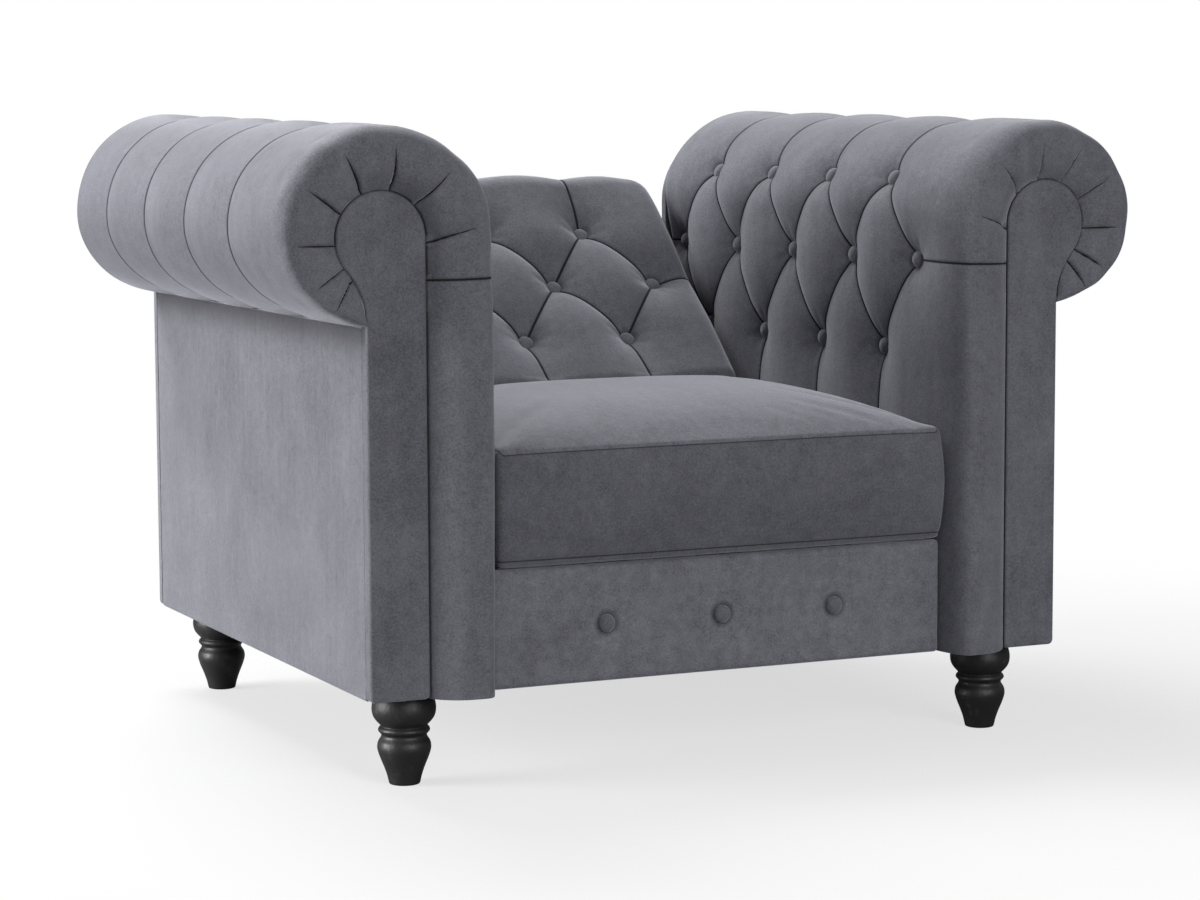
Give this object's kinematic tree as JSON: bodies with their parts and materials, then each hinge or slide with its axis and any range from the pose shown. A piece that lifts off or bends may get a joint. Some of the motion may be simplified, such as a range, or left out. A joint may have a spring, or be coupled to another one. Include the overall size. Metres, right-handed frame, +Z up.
{
  "type": "reclining chesterfield armchair",
  "caption": "Wide scroll-arm armchair with deep diamond buttoning, a box seat cushion, turned feet and a low buttoned back that reclines on side hinges.",
  "frame": {"origin": "on the floor, under the middle of the chair's outline at rest", "axes": "+X to the right of someone facing the chair, +Y towards its rear, +Z up"},
  "size_m": [1.1174, 0.9394, 0.7658],
  "materials": {
    "velvet": "brushed short-pile velvet",
    "timber": "sawn pine, unfinished",
    "plywood": "plywood, unfinished",
    "card": "wound card, matt",
    "webbing": "woven webbing",
    "cambric": "thin non-woven cloth",
    "steel": "zinc plated",
    "black_wood": "black lacquer, satin"
  },
  "bodies": {
    "base": {"arm_bolt_front_left": "steel", "arm_bolt_front_right": "steel", "arm_bolt_rear_left": "steel", "arm_bolt_rear_right": "steel", "arm_left_base_rail": "timber", "arm_left_facing": "velvet", "arm_left_front_board": "plywood", "arm_left_front_pad": "velvet", "arm_left_inner_board": "plywood", "arm_left_outer_panel": "velvet", "arm_left_pad": "velvet", "arm_left_rear_board": "plywood", "arm_left_rear_panel": "velvet", "arm_left_roll_core": "card", "arm_right_base_rail": "timber", "arm_right_facing": "velvet", "arm_right_front_board": "plywood", "arm_right_front_pad": "velvet", "arm_right_inner_board": "plywood", "arm_right_outer_panel": "velvet", "arm_right_pad": "velvet", "arm_right_rear_board": "plywood", "arm_right_rear_panel": "velvet", "arm_right_roll_core": "card", "dust_cover": "cambric", "foot_front_left": "black_wood", "foot_front_right": "black_wood", "foot_rear_left": "black_wood", "foot_rear_right": "black_wood", "front_button_left": "velvet", "front_button_middle": "velvet", "front_button_right": "velvet", "front_panel": "velvet", "hinge_pin_left": "steel", "hinge_pin_right": "steel", "hinge_seat_plate_left": "steel", "hinge_seat_plate_right": "steel", "seat_cushion": "velvet", "seat_front_rail": "timber", "seat_left_rail": "timber", "seat_middle_rail": "timber", "seat_rear_rail": "timber", "seat_right_rail": "timber", "seat_strap_1": "webbing", "seat_strap_2": "webbing", "seat_strap_3": "webbing", "stud_front_left": "steel", "stud_front_right": "steel", "stud_rear_left": "steel", "stud_rear_right": "steel"},
    "back": {"back_bottom_rail": "timber", "back_left_post": "timber", "back_left_strap": "webbing", "back_pad": "velvet", "back_rear_panel": "velvet", "back_right_post": "timber", "back_right_strap": "webbing", "back_top_rail": "timber", "hinge_back_plate_left": "steel", "hinge_back_plate_right": "steel"}
  },
  "joints": [
    {"name": "back_recline", "type": "hinge", "parent": "base", "child": "back", "pos_m": [0, 0.10027, 0.375], "axis": [-1, 0, 0], "range_deg": [-33, 42]}
  ]
}
